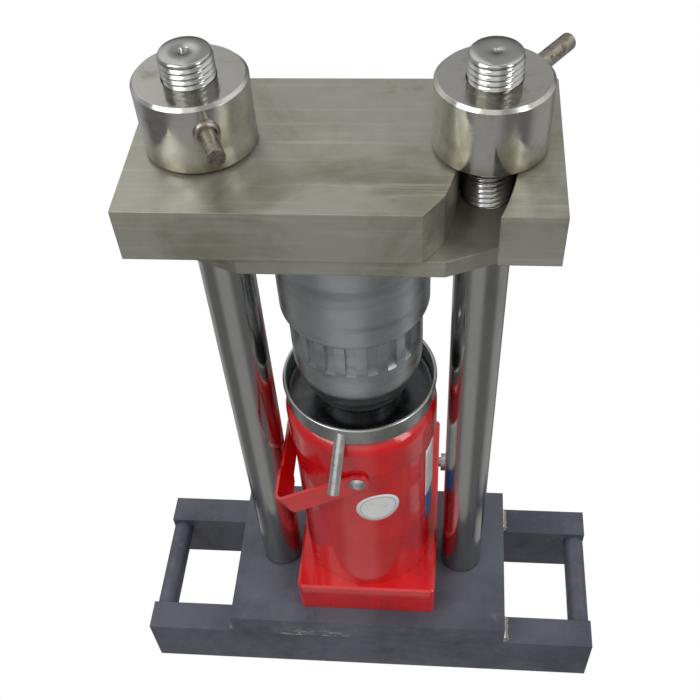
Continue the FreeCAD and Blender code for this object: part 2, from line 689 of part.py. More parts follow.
# ---------------------------------------------------------------- jack
def jack_base():
    body = new_body("base_body")
    half, r = base_width / 2, base_corner
    front, rear = -base_front, base_rear
    pad(body, "base_pad", "XY_Plane", [
        (r - half, front), (half - r, front, r), (half, front + r), (half, rear - r, r), (half - r, rear),
        (r - half, rear, r), (-half, rear - r), (-half, front + r, r)], base_height)
    soften(body, "base_top_bevel", "Chamfer", base_bevel,
           lambda edge, middle: near(middle.z, base_height))
    place(body, 0, 0, PLATE_TOP)
    lug = box("base_lug", (-lug_half_width, lug_half_width), (lug_front, lug_front + lug_length),
              (PLATE_TOP + base_height / 2, BASE_TOP + lug_height))
    blank = join("base_blank", body, lug)
    seat = rod("base_seat", cylinder_bore + cylinder_wall + fit_gap, THROUGH, 0, 0, BASE_TOP - cylinder_seat)
    well = rod("base_pump_seat", pump_radius + fit_gap, THROUGH, 0, pump_offset, BASE_TOP - pump_seat)
    valve = rod("base_valve_hole", valve_stem + fit_gap, THROUGH, base_width / 2 - valve_seat, valve_offset,
                PLATE_TOP + valve_rise, Y_AXIS, 90)
    pin = cross_rod("base_pin_hole", pin_radius + fit_gap, rail_length, FOOT_PIN_Y, FOOT_PIN_Z)
    piece("jack_base", cut("base_cut", blank, seat, well, valve, pin))


def inner_cylinder():
    foot, top = BASE_TOP - cylinder_seat, CAP_FOOT + cap_skirt + cylinder_seat
    outer = cylinder_bore + cylinder_wall
    turned_piece("inner_cylinder", [(cylinder_bore, foot), (outer, foot), (outer, top), (cylinder_bore, top)])


def jack_tank():
    inner, top = tank_radius - tank_wall, CAP_FOOT + cap_skirt
    body = new_body("tank_body")
    turn(body, "tank_turning", [(inner, BASE_TOP), (tank_radius, BASE_TOP), (tank_radius, top), (inner, top)])
    rivets = rod("tank_rivet_holes", rivet_radius + fit_gap, THROUGH, 0, THROUGH / 2, BASE_TOP + bail_rise,
                 X_AXIS, 90)
    filler = radial_rod("tank_filler_hole", filler_radius + fit_gap, inner - tank_wall,
                        tank_radius + tank_wall, filler_angle, 0, BASE_TOP + filler_rise)
    piece("jack_tank", cut("tank_cut", body, rivets, filler))


def jack_top_cap():
    seat = cylinder_bore + cylinder_wall + fit_gap
    skirt = tank_radius + fit_gap
    bore = ram_radius + fit_gap
    tank_top = CAP_FOOT + cap_skirt
    seat_top = tank_top + cylinder_seat
    groove_foot = seat_top + (CAP_TOP - seat_top - seal_height) / 2
    groove = bore + seal_depth
    turned_piece("jack_top_cap", [
        (skirt, CAP_FOOT), (cap_radius, CAP_FOOT), (cap_radius, CAP_TOP - cap_shoulder, cap_shoulder),
        (cap_radius - cap_shoulder, CAP_TOP), (bore, CAP_TOP), (bore, groove_foot + seal_height),
        (groove, groove_foot + seal_height), (groove, groove_foot), (bore, groove_foot), (bore, seat_top),
        (seat, seat_top), (seat, tank_top), (skirt, tank_top)])
    turned_piece("gland_seal", [
        (bore, groove_foot), (groove - fit_gap, groove_foot), (groove - fit_gap, groove_foot + seal_height),
        (bore, groove_foot + seal_height)])


def ram():
    foot = BASE_TOP + ram_rest
    head = foot + ram_foot
    outer = cylinder_bore - fit_gap
    groove = outer - seal_depth
    low = foot + (ram_foot - seal_height) / 2
    spigot, spigot_top = ram_radius * 0.4, PISTON_FOOT + piston_height / 2
    turned_piece("ram", [
        (0, foot), (outer, foot), (outer, low), (groove, low), (groove, low + seal_height),
        (outer, low + seal_height), (outer, head), (ram_radius, head), (ram_radius, PISTON_FOOT),
        (spigot, PISTON_FOOT), (spigot, spigot_top), (0, spigot_top)])
    turned_piece("ram_seal", [
        (groove + fit_gap, low), (outer, low), (outer, low + seal_height),
        (groove + fit_gap, low + seal_height)])


def press_piston():
    outer = barrel_bore - fit_gap
    hole, hole_top = ram_radius * 0.4 + fit_gap, PISTON_FOOT + piston_height / 2
    ring_foot, ring_height, ring_depth = PISTON_FOOT + piston_height * 0.6, 3, 3
    top = PISTON_FOOT + piston_height
    turned_piece("press_piston", [
        (hole, PISTON_FOOT), (outer, PISTON_FOOT), (outer, ring_foot), (outer - ring_depth, ring_foot),
        (outer - ring_depth, ring_foot + ring_height), (outer, ring_foot + ring_height), (outer, top),
        (0, top), (0, hole_top), (hole, hole_top)])
    inner = outer - ring_depth + fit_gap
    turned_piece("piston_ring", [
        (inner, ring_foot), (outer, ring_foot), (outer, ring_foot + ring_height),
        (inner, ring_foot + ring_height)])


# ---------------------------------------------------------------- oil tray
def tray_rim(name):
    rim = doc.addObject("Part::Torus", name)
    bind(rim, "Radius1", tray_radius - tray_bead / 3)
    bind(rim, "Radius2", tray_bead)
    return place(rim, 0, 0, TRAY_TOP - tray_bead)


def spout_rod(name, radius, back, length):
    """A rod on the spout's axis, from back above the tray's wall."""
    obj = doc.addObject("Part::Cylinder", name)
    bind(obj, "Radius", radius)
    bind(obj, "Height", length)
    reach = tray_radius - back * cosine(spout_slope)
    x, y = reach * cosine(spout_angle), reach * sine(spout_angle)
    z = TRAY_TOP - spout_drop + back * sine(spout_slope)
    turning = Rotation(Z_AXIS, spout_angle.value).multiply(Rotation(Y_AXIS, 90 + spout_slope.value))
    obj.Placement = Placement(Vector(x.value, y.value, z.value), turning)
    for name, term in (("x", x), ("y", y), ("z", z)):
        bind(obj, f"Placement.Base.{name}", term)
    return obj


def oil_tray():
    hole = ram_radius + slide_gap
    hub = hole + tray_hub
    inner = tray_radius - tray_wall
    floor = CAP_TOP + tray_wall
    bend = tray_bend - tray_wall
    body = new_body("tray_body")
    turn(body, "tray_turning", [
        (hole, CAP_TOP), (tray_radius - tray_bend, CAP_TOP, tray_bend), (tray_radius, CAP_TOP + tray_bend),
        (tray_radius, TRAY_TOP - tray_bead), (inner, TRAY_TOP - tray_bead),
        (inner, CAP_TOP + tray_bend, -bend), (inner - bend, floor),
        (hub, floor), (hub, CAP_TOP + tray_hub_height), (hole, CAP_TOP + tray_hub_height)])
    pan = join("tray_pan", body, tray_rim("tray_rim"))
    drain = spout_rod("tray_drain", spout_radius - spout_wall, 2 * spout_radius, spout_length)
    piece("oil_tray", cut("tray_cut", pan, drain))


def oil_spout():
    body = new_body("spout_blank_body")
    turn(body, "spout_blank", [
        (0, CAP_TOP), (tray_radius - tray_bend, CAP_TOP, tray_bend), (tray_radius, CAP_TOP + tray_bend),
        (tray_radius, TRAY_TOP - tray_bead), (0, TRAY_TOP - tray_bead)])
    back = 2 * spout_radius
    outer = spout_rod("spout_outer", spout_radius, back, spout_length + back)
    inner = spout_rod("spout_inner", spout_radius - spout_wall, 2 * back, spout_length + 4 * back)
    piece("oil_spout", cut("spout_cut", outer, inner, body, tray_rim("spout_rim")))


# ---------------------------------------------------------------- carry bail
def bail_handle():
    outer, inner = bail_offset + bail_thick, bail_offset
    far, near_face = -bail_reach, bail_thick - bail_reach
    end = bail_width / 2
    tight = bail_bend - bail_thick
    bend_x, bend_y = bail_bend - bail_reach, outer - bail_bend
    body = new_body("bail_body")
    pad(body, "bail_strip", "XY_Plane", [
        (end, -outer), (bend_x, -outer, -bail_bend), (far, -bend_y), (far, bend_y, -bail_bend),
        (bend_x, outer), (end, outer), (end, inner), (bend_x, inner, tight), (near_face, bend_y),
        (near_face, -bend_y, tight), (bend_x, -inner), (end, -inner)], bail_width, middle=True)
    narrow, wide = bail_grip_length / 2, bail_grip_length / 2 + bail_taper
    low, high = bail_grip_width / 2, bail_width / 2
    through_pocket(
        body, "bail_grip", "YZ_Plane",
        [(-wide, high), (-narrow, low), (narrow, low), (wide, high), (wide, 2 * high), (-wide, 2 * high)],
        [(-wide, -2 * high), (wide, -2 * high), (wide, -high), (narrow, -low), (-narrow, -low),
         (-wide, -high)])
    through_pocket(body, "bail_holes", "XZ_Plane", round_hole(0, 0, rivet_radius + fit_gap))
    soften(body, "bail_ends", "Fillet", end - 0.1,
           lambda edge, middle: near(middle.x, end) and near(abs(middle.z), end))
    place(body, 0, 0, BASE_TOP + bail_rise, Y_AXIS, -bail_angle)
    piece("bail_handle", body)


def bail_rivets():
    rivets = []
    inside = tank_radius - tank_wall
    arm = bail_offset + bail_thick + slide_gap
    crown = arm + rivet_head_height
    for number, turning in enumerate((90, -90), start=1):
        body = new_body(f"rivet{number}")
        turn(body, f"rivet_turning{number}", [
            (0, inside), (rivet_radius, inside), (rivet_radius, tank_radius), (rivet_shoulder, tank_radius),
            (rivet_shoulder, bail_offset - slide_gap), (rivet_radius, bail_offset - slide_gap),
            (rivet_radius, arm), (rivet_head, arm, arc_through(rivet_head, rivet_head_height)), (0, crown)])
        rivets.append(place(body, 0, 0, BASE_TOP + bail_rise, X_AXIS, turning))
    piece("bail_rivets", group("rivets", *rivets))


# ---------------------------------------------------------------- pump
def pump_cylinder():
    bore = plunger_radius + fit_gap
    foot, top = BASE_TOP - pump_seat, BASE_TOP + pump_height
    body = new_body("pump_body")
    turn(body, "pump_turning", [
        (0, foot), (pump_radius, foot), (pump_radius, top), (pump_gland_radius, top),
        (pump_gland_radius, top + pump_gland_height), (bore, top + pump_gland_height),
        (bore, BASE_TOP + pump_floor), (0, BASE_TOP + pump_floor)])
    place(body, 0, pump_offset, 0)
    piece("pump_cylinder", body)


def pump_plunger():
    shaft = rod("plunger_shaft", plunger_radius, lever_rise - plunger_depth, 0, pump_offset,
                BASE_TOP + plunger_depth)
    eye = cross_rod("plunger_eye", plunger_radius, plunger_radius, pump_offset, PIN_Z)
    blank = join("plunger_blank", shaft, eye)
    outside = 2 * plunger_radius
    y, z = (pump_offset - outside, pump_offset + outside), (PIN_Z - eye_flats, PIN_Z + outside)
    flats = [box("plunger_left_flat", (-outside, -eye_thick / 2), y, z),
             box("plunger_right_flat", (eye_thick / 2, outside), y, z)]
    hole = cross_rod("plunger_hole", pin_radius + fit_gap, outside, pump_offset, PIN_Z)
    piece("pump_plunger", cut("plunger_cut", blank, *flats, hole))


def handle_socket():
    arm = new_body("lever_arm_body")
    r = lever_eye
    pad(arm, "lever_arm_pad", "YZ_Plane", [(0, -r, r), (0, r), (-lever_arm, r, r), (-lever_arm, -r)],
        2 * lever_half_width, middle=True)
    place(arm, 0, pump_offset, PIN_Z, X_AXIS, lever_tilt)
    neck = new_body("lever_neck_body")
    pad(neck, "lever_neck_pad", "YZ_Plane", [(-r, 0), (r, 0), (r, socket_start + 1), (-r, socket_start + 1)],
        2 * lever_half_width, middle=True)
    lean = socket_slope - 90
    place(neck, 0, pump_offset, PIN_Z, X_AXIS, lean)
    start_y = pump_offset + socket_start * cosine(socket_slope)
    start_z = PIN_Z + socket_start * sine(socket_slope)
    tube = rod("socket_tube", socket_radius, socket_reach - socket_start, 0, start_y, start_z, X_AXIS, lean)
    blank = join("lever_blank", arm, neck, tube)
    gap = eye_thick / 2 + slide_gap
    slot = cross_rod("lever_slot", r + slide_gap, gap, pump_offset, PIN_Z)
    way = box("lever_way", (-gap, gap), (pump_offset - plunger_radius - 2 * slide_gap, pump_offset + 2 * r),
              (PIN_Z - 3 * r, PIN_Z))
    bore = rod("socket_hole", socket_bore, socket_reach, 0, pump_offset + socket_floor * cosine(socket_slope),
               PIN_Z + socket_floor * sine(socket_slope), X_AXIS, lean)
    holes = [cross_rod(f"lever_hole{number}", pin_radius + fit_gap, 3 * r, y, z)
             for number, (y, z) in enumerate(((pump_offset, PIN_Z), (LINK_Y, LINK_Z)), start=1)]
    piece("handle_socket", cut("lever_cut", blank, slot, way, bore, *holes))


def headed_pin(name, half_length, y, z):
    shank = cross_rod(name + "_shank", pin_radius, half_length + pin_head_height, y, z)
    heads = [rod(f"{name}_head{number}", pin_head, pin_head_height, x, y, z, Y_AXIS, 90)
             for number, x in enumerate((half_length, -half_length - pin_head_height), start=1)]
    return join(name, shank, *heads)


def socket_pins():
    plunger_pin = headed_pin("plunger_pin", lever_half_width + fit_gap, pump_offset, PIN_Z)
    link_pin = headed_pin("link_pin", lever_half_width + slide_gap + link_thick + slide_gap, LINK_Y, LINK_Z)
    piece("socket_pins", group("lever_pins", plunger_pin, link_pin))


def pump_links():
    inner = lug_half_width + slide_gap
    links = []
    for number, x in enumerate((inner, -inner - link_thick), start=1):
        body = new_body(f"link{number}")
        r, reach = link_half_width, LINK_Z - FOOT_PIN_Z
        strip = [(r, 0), (r, reach, r), (-r, reach), (-r, 0, r)]
        pad(body, f"link_pad{number}", "YZ_Plane", strip, link_thick)
        place(body, x, LINK_Y, FOOT_PIN_Z)
        upper = cross_rod(f"link_upper{number}", pin_radius + fit_gap, rail_length, LINK_Y, LINK_Z)
        lower = cross_rod(f"link_lower{number}", pin_radius + link_play, rail_length, LINK_Y, FOOT_PIN_Z)
        links.append(cut(f"link_cut{number}", body, upper, lower))
    piece("pump_links", group("links", *links))


def lug_pin():
    piece("lug_pin", headed_pin("foot_pin", lug_half_width + slide_gap + link_thick + slide_gap,
                                FOOT_PIN_Y, FOOT_PIN_Z))


def release_valve():
    side = base_width / 2
    y, z = valve_offset, PLATE_TOP + valve_rise
    start = side + valve_gap
    end = start + valve_head_length
    reach = valve_seat + valve_gap + valve_head_length / 2
    stem = rod("valve_stem_rod", valve_stem, reach, side - valve_seat, y, z, Y_AXIS, 90)
    head = rod("valve_head_rod", valve_head, valve_head_length, start, y, z, Y_AXIS, 90)
    slot = box("valve_head_slot", (end - valve_slot_depth, 2 * end), (y - 2 * valve_head, y + 2 * valve_head),
               (z - valve_slot / 2, z + valve_slot / 2))
    piece("release_valve", cut("valve_cut", join("valve_blank", stem, head), slot))


def filler_plug():
    z = BASE_TOP + filler_rise
    top = tank_radius + filler_head_height
    stem = radial_rod("filler_stem", filler_radius, tank_radius - tank_wall, top, filler_angle, 0, z)
    head = radial_rod("filler_head_rod", filler_head, tank_radius, top, filler_angle, 0, z)
    piece("filler_plug", join("filler_join", stem, head))


for make in (rails, handle_bars, base_plate, weld_beads, columns, column_foot_nuts, flange_plate,
             barrel_jacket, press_barrel, top_beam, nuts, jack_base, inner_cylinder, jack_tank, jack_top_cap,
             ram, press_piston, oil_tray, oil_spout, bail_handle, bail_rivets, pump_cylinder, pump_plunger,
             handle_socket, socket_pins, pump_links, lug_pin, release_valve, filler_plug):
    make()
doc.recompute()

for obj in doc.Objects:
    if "Invalid" in obj.State or "Error" in obj.State:
        raise RuntimeError(f"{obj.Name} did not recompute: {obj.State}")
for obj in pieces:
    if obj.Shape.isNull() or not obj.Shape.isValid():
        raise RuntimeError(f"{obj.Label} has no valid shape")

os.makedirs("parts", exist_ok=True)
for obj in pieces:
    obj.Shape.exportStep(f"parts/{obj.Label}.step")
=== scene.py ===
"""Looks of the hydraulic oil press: materials, threads, welds, sticker, label, light and camera.

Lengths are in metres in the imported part's frame.  The press axis is the upright line through AXIS.
"""
import json
import math

import bpy
import numpy as np
from mathutils import Matrix, Vector

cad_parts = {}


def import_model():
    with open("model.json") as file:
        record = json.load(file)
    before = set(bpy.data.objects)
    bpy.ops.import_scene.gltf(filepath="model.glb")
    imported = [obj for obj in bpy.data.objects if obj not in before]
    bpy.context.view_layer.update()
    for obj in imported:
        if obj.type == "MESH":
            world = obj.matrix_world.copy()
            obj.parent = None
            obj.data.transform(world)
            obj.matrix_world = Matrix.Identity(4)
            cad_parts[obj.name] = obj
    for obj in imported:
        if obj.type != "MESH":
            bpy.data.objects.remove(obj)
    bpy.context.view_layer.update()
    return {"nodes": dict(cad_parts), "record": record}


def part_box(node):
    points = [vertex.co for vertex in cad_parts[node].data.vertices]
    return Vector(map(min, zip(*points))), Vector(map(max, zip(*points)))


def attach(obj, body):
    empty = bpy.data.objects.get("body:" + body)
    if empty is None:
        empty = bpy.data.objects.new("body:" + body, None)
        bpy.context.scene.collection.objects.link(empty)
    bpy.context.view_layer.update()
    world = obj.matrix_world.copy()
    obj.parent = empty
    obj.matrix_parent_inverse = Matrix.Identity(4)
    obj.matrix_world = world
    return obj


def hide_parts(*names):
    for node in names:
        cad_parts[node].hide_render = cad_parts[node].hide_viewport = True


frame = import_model()
NODES = frame["nodes"]


def centre(node):
    """Middle of a CAD node's box."""
    low, high = np.array(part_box(node)[0]), np.array(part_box(node)[1])
    return (low + high) / 2


AXIS = Vector((0.0, float(centre("jack_tank")[1]), 0.0))
TANK_RADIUS, NUT_RADIUS = 0.0585, 0.035
BAR_RADIUS, SHANK_RADIUS, STUD_RADIUS = 0.019, 0.0135, 0.0165
THREAD_PITCH, THREAD_DEPTH = 0.0035, 0.0019
FOOT_THREAD_STOP = 0.026  # plate's top down to the upper end of the thread below it
TRAY_WALL = (0.0572, 0.0579)  # inner and outer radius of the tray's upright wall
WELD_LEG, WELD_INSET, RIPPLE = 0.0058, 0.0015, 0.0025
FILM = 0.00018  # thickness of the sticker and the label
STICKER_ANGLE, STICKER_HEIGHT, STICKER_RADIUS = math.radians(-75), 0.252, 0.0185
STICKER_RING = (0.0142, 0.0147, 0.0153, 0.0158)  # where its edge line fades in and out
LABEL_FOOT, LABEL_HEAD, LABEL_BAND = 0.190, 0.290, 0.036
LABEL_FROM, LABEL_TO = math.radians(-25), math.radians(38)


# ------------------------------------------------------------------ shader helpers
def linear(red, green, blue):
    """Display values from 0 to 255 as a linear colour."""
    values = np.array([red, green, blue]) / 255
    return (*np.where(values <= 0.04045, values / 12.92, ((values + 0.055) / 1.055) ** 2.4), 1.0)


class Value:
    """A number in a material's node tree, so that shader sums read as formulas."""

    def __init__(self, tree, socket):
        self.tree, self.socket = tree, socket

    def calc(self, operation, *others):
        node = self.tree.nodes.new("ShaderNodeMath")
        node.operation = operation
        for socket, item in zip(node.inputs, (self, *others)):
            if isinstance(item, Value):
                self.tree.links.new(item.socket, socket)
            else:
                socket.default_value = item
        return Value(self.tree, node.outputs[0])

    def __add__(self, other):
        return self.calc("ADD", other)

    def __mul__(self, other):
        return self.calc("MULTIPLY", other)

    def between(self, low, high, start=0.0, end=1.0):
        """Rises smoothly from start to end while the value goes from low to high."""
        node = self.tree.nodes.new("ShaderNodeMapRange")
        node.interpolation_type = "SMOOTHSTEP"
        self.tree.links.new(self.socket, node.inputs["Value"])
        limits = (("From Min", low), ("From Max", high), ("To Min", start), ("To Max", end))
        for name, number in limits:
            node.inputs[name].default_value = number
        return Value(self.tree, node.outputs["Result"])


class Surface:
    """A Principled material whose patterns are laid out in metres on the object."""

    def __init__(self, name, color, roughness, metallic=0.0, edge=0.0006):
        self.material = bpy.data.materials.new(name)
        self.material.use_nodes = True
        self.tree = self.material.node_tree
        self.shader = self.tree.nodes["Principled BSDF"]
        self.shader.inputs["Metallic"].default_value = metallic
        self.place = self.tree.nodes.new("ShaderNodeTexCoord").outputs["Object"]
        self.set_color(self.fixed(color))
        self.set("Roughness", roughness)
        self.normal = None
        if edge:
            bevel = self.tree.nodes.new("ShaderNodeBevel")
            bevel.samples = 4
            bevel.inputs["Radius"].default_value = edge
            self.set_normal(bevel.outputs["Normal"])

    def fixed(self, color):
        node = self.tree.nodes.new("ShaderNodeRGB")
        node.outputs[0].default_value = color
        return node.outputs[0]

    def set(self, name, value):
        if isinstance(value, Value):
            self.tree.links.new(value.socket, self.shader.inputs[name])
        else:
            self.shader.inputs[name].default_value = value

    def set_color(self, socket):
        self.color = socket
        self.tree.links.new(socket, self.shader.inputs["Base Color"])

    def set_normal(self, socket):
        self.normal = socket
        self.tree.links.new(socket, self.shader.inputs["Normal"])

    def stretched(self, scale):
        node = self.tree.nodes.new("ShaderNodeMapping")
        self.tree.links.new(self.place, node.inputs["Vector"])
        node.inputs["Scale"].default_value = scale
        return node.outputs[0]

    def noise(self, scale, detail=4.0, rough=0.6, stretch=(1, 1, 1), distortion=0.0):
        node = self.tree.nodes.new("ShaderNodeTexNoise")
        self.tree.links.new(self.stretched(stretch), node.inputs["Vector"])
        for name, number in (("Scale", scale), ("Detail", detail), ("Roughness", rough),
                             ("Distortion", distortion)):
            node.inputs[name].default_value = number
        return Value(self.tree, node.outputs["Fac"])

    def axis(self, letter):
        node = self.tree.nodes.new("ShaderNodeSeparateXYZ")
        self.tree.links.new(self.place, node.inputs[0])
        return Value(self.tree, node.outputs[letter])

    def distance(self, point, flat=False):
        """Distance from a point, or from the upright line through it."""
        node = self.tree.nodes.new("ShaderNodeVectorMath")
        node.operation = "DISTANCE"
        scale = (1, 1, 0) if flat else (1, 1, 1)
        self.tree.links.new(self.stretched(scale), node.inputs[0])
        node.inputs[1].default_value = Vector(point) * Vector(scale)
        return Value(self.tree, node.outputs["Value"])

    def tint(self, color, amount):
        """Lays another colour over what is there, by an amount from 0 to 1."""
        node = self.tree.nodes.new("ShaderNodeMix")
        node.data_type = "RGBA"
        self.tree.links.new(self.color, node.inputs["A"])
        node.inputs["B"].default_value = color
        self.tree.links.new(amount.socket, node.inputs["Factor"])
        self.set_color(node.outputs["Result"])

    def bump(self, height, distance):
        node = self.tree.nodes.new("ShaderNodeBump")
        node.inputs["Distance"].default_value = distance
        self.tree.links.new(height.socket, node.inputs["Height"])
        if self.normal is not None:
            self.tree.links.new(self.normal, node.inputs["Normal"])
        self.set_normal(node.outputs["Normal"])

    def turned(self, amount):
        """Stretches highlights along the axis, as lathe marks do."""
        tangent = self.tree.nodes.new("ShaderNodeTangent")
        tangent.direction_type = "RADIAL"
        tangent.axis = "Z"
        self.tree.links.new(tangent.outputs[0], self.shader.inputs["Tangent"])
        self.shader.inputs["Anisotropic"].default_value = amount


# ------------------------------------------------------------------ materials
def enamel(s):
    """The brushed enamel's uneven gloss and relief."""
    s.set("Roughness", s.noise(70, 4, 0.6).between(0.3, 0.7, 0.34, 0.56))
    s.bump(s.noise(320, 3, 0.6) + s.noise(45, 3, 0.5) * 2.0, 0.00012)
    return s.material


def frame_paint():
    """Dark grey enamel, brushed on over mill scale, rubbed where tools and crates touched it."""
    s = Surface("frame_paint", linear(82, 84, 96), 0.42, edge=0.0008)
    cloudy = s.noise(14, 5, 0.6)
    s.tint(linear(64, 65, 78), cloudy.between(0.42, 0.66))
    s.tint(linear(104, 107, 116), s.noise(55, 6, 0.7).between(0.58, 0.74, 0, 0.5))
    streak = s.noise(40, 3, 0.5, (1, 30, 30)).between(0.66, 0.74)
    worn = s.noise(25, 4, 0.7).between(0.58, 0.66)
    s.tint(linear(176, 174, 172), streak * worn * 0.7)
    return enamel(s)


def plate_paint():
    """The same enamel on the base plate, scratched to bare metal along the lower front edge."""
    s = Surface("plate_paint", linear(84, 87, 98), 0.42, edge=0.0008)
    s.tint(linear(66, 68, 80), s.noise(12, 5, 0.6).between(0.42, 0.66))
    s.tint(linear(108, 111, 120), s.noise(60, 6, 0.7).between(0.58, 0.74, 0, 0.5))
    top = float(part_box("base_plate")[1][2])
    near_edge = s.axis("Z").between(top - 0.029, top - 0.012, 1, 0)
    left = s.axis("X").between(-0.095, -0.075) * s.axis("X").between(-0.035, -0.01, 1, 0)
    scraped = s.noise(90, 8, 0.75, (1, 1, 3)).between(0.5, 0.6)
    s.tint(linear(196, 194, 190), scraped * near_edge * left * 0.85)
    return enamel(s)


def column_chrome():
    """Hard chrome over ground bar: a soft mirror with a faint grind along the bar."""
    s = Surface("column_chrome", linear(176, 176, 174), 0.2, 1.0, edge=0)
    s.tint(linear(120, 118, 112), s.noise(30, 5, 0.6, (1, 1, 0.25)).between(0.5, 0.75, 0, 0.35))
    s.set("Roughness", s.noise(160, 4, 0.6, (1, 1, 0.2)).between(0.35, 0.7, 0.13, 0.24))
    s.bump(s.noise(900, 2, 0.5, (1, 1, 0.02)), 0.00002)
    return s.material


def nut_steel():
    """Polished round nuts under a thin yellowish film of oil, browner at the foot and the rims."""
    s = Surface("nut_steel", linear(190, 189, 184), 0.16, 1.0, edge=0.0005)
    s.tint(linear(140, 126, 96), s.noise(45, 6, 0.65).between(0.5, 0.72, 0, 0.5))
    foot = float(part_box("left_nut")[0][2])
    low_band = s.axis("Z").between(foot, foot + 0.012, 1, 0)
    s.tint(linear(112, 96, 72), low_band * s.noise(70, 5, 0.6))
    s.set("Roughness", s.noise(110, 5, 0.6).between(0.35, 0.7, 0.1, 0.28))
    s.bump(s.noise(500, 2, 0.5, (0.1, 0.1, 1)), 0.00002)
    return s.material


def tommy_steel():
    """Bare bars with heat-browned roots."""
    s = Surface("tommy_steel", linear(168, 162, 152), 0.3, 1.0, edge=0.0005)
    s.tint(linear(92, 66, 46), s.noise(180, 6, 0.7).between(0.45, 0.7, 0.1, 0.85))
    s.set("Roughness", s.noise(260, 4, 0.6).between(0.3, 0.7, 0.22, 0.5))
    return s.material


def weld_metal():
    """Bright bare weld with brown oxide in its hollows."""
    s = Surface("weld_metal", linear(190, 186, 180), 0.32, 0.9, edge=0)
    s.tint(linear(104, 88, 76), s.noise(300, 5, 0.7).between(0.5, 0.7, 0, 0.7))
    s.bump(s.noise(700, 3, 0.6), 0.0002)
    return s.material


def ground_steel():
    """Ground plate: a fine grind along X, with grey-green and brown stains of oil and handling."""
    s = Surface("ground_steel", linear(168, 167, 156), 0.42, 0.75, edge=0.0009)
    stains = s.noise(9, 6, 0.62, distortion=0.6)
    s.tint(linear(128, 126, 108), stains.between(0.45, 0.7, 0, 0.8))
    s.tint(linear(110, 92, 72), s.noise(26, 6, 0.7).between(0.6, 0.76, 0, 0.55))
    s.tint(linear(196, 194, 184), s.noise(240, 3, 0.6, (0.04, 1, 1)).between(0.5, 0.8, 0, 0.5))
    s.set("Roughness", s.noise(60, 5, 0.6).between(0.35, 0.7, 0.34, 0.52))
    s.bump(s.noise(900, 2, 0.5, (0.03, 1, 1)), 0.00004)
    return s.material


def turned_steel():
    """Lathe-turned steel: rings round the axis and a highlight that runs along it."""
    s = Surface("turned_steel", linear(186, 190, 192), 0.3, 0.95, edge=0.0005)
    s.tint(linear(128, 132, 134), s.noise(60, 5, 0.6, (0.15, 0.15, 1)).between(0.45, 0.7, 0, 0.6))
    s.tint(linear(120, 108, 90), s.noise(40, 6, 0.7).between(0.6, 0.76, 0, 0.35))
    s.set("Roughness", s.noise(90, 5, 0.6, (0.3, 0.3, 1)).between(0.35, 0.7, 0.24, 0.4))
    s.bump(s.noise(700, 2, 0.5, (0.01, 0.01, 1)), 0.00005)
    s.turned(0.55)
    return s.material


def jack_red():
    """Gloss red enamel with orange peel and a little dust."""
    s = Surface("jack_red", linear(208, 18, 24), 0.2, edge=0.0012)
    s.tint(linear(168, 8, 16), s.noise(18, 4, 0.6).between(0.4, 0.75, 0, 0.7))
    s.set("Roughness", s.noise(90, 5, 0.6).between(0.3, 0.75, 0.14, 0.32))
    s.set("Coat Weight", 0.6)
    s.shader.inputs["Coat Roughness"].default_value = 0.06
    s.bump(s.noise(130, 2, 0.5) + s.noise(30, 2, 0.5) * 3.0, 0.00022)
    return s.material


def tray_sheet():
    """Pressed steel sheet, bright on its rim, with painted shade inside the tray below the rim."""
    s = Surface("tray_sheet", linear(172, 173, 170), 0.3, 0.95, edge=0)
    rim = float(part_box("oil_tray")[1][2])
    # painted shade: dark grey laid over the inside of the tray's wall and floor, below the rim
    inside = s.distance(AXIS, flat=True).between(*TRAY_WALL, 1, 0)
    painted_shade_depth = s.axis("Z").between(rim - 0.006, rim - 0.0005, 1, 0)
    s.tint(linear(64, 66, 70), inside * painted_shade_depth * 0.9)
    s.tint(linear(110, 108, 100), s.noise(50, 5, 0.65).between(0.5, 0.72, 0, 0.5))
    s.set("Roughness", s.noise(80, 5, 0.6).between(0.35, 0.7, 0.2, 0.38))
    return s.material


def zinc_plate():
    """Bright zinc with a fine satin grain."""
    s = Surface("zinc_plate", linear(206, 208, 206), 0.28, 0.95, edge=0.0003)
    s.tint(linear(158, 160, 158), s.noise(150, 4, 0.6).between(0.45, 0.7, 0, 0.5))
    s.set("Roughness", s.noise(200, 4, 0.6).between(0.3, 0.7, 0.2, 0.36))
    return s.material


def dark_steel():
    """Blackened steel with a satin film of oil."""
    s = Surface("dark_steel", linear(74, 74, 76), 0.34, 0.9, edge=0.0004)
    s.tint(linear(46, 44, 42), s.noise(80, 5, 0.6).between(0.4, 0.7, 0, 0.7))
    s.set("Roughness", s.noise(120, 4, 0.6).between(0.3, 0.7, 0.26, 0.46))
    return s.material


def seal_rubber():
    """Matt black nitrile rubber."""
    s = Surface("seal_rubber", linear(30, 30, 31), 0.62, edge=0.0003)
    s.tint(linear(48, 48, 49), s.noise(220, 4, 0.6).between(0.45, 0.7, 0, 0.6))
    s.bump(s.noise(900, 2, 0.5), 0.00004)
    return s.material


def sticker_film():
    """Round white vinyl with a thin grey edge line."""
    s = Surface("sticker_film", linear(226, 226, 226), 0.34, edge=0)
    reach = s.distance(on_tank(STICKER_ANGLE, STICKER_HEIGHT, FILM))
    ring = reach.between(*STICKER_RING[:2]) * reach.between(*STICKER_RING[2:], 1, 0)
    s.tint(linear(150, 156, 166), ring * 0.7)
    s.tint(linear(200, 198, 196), s.noise(160, 4, 0.6).between(0.5, 0.7, 0, 0.5))
    s.set("Coat Weight", 0.4)
    return s.material


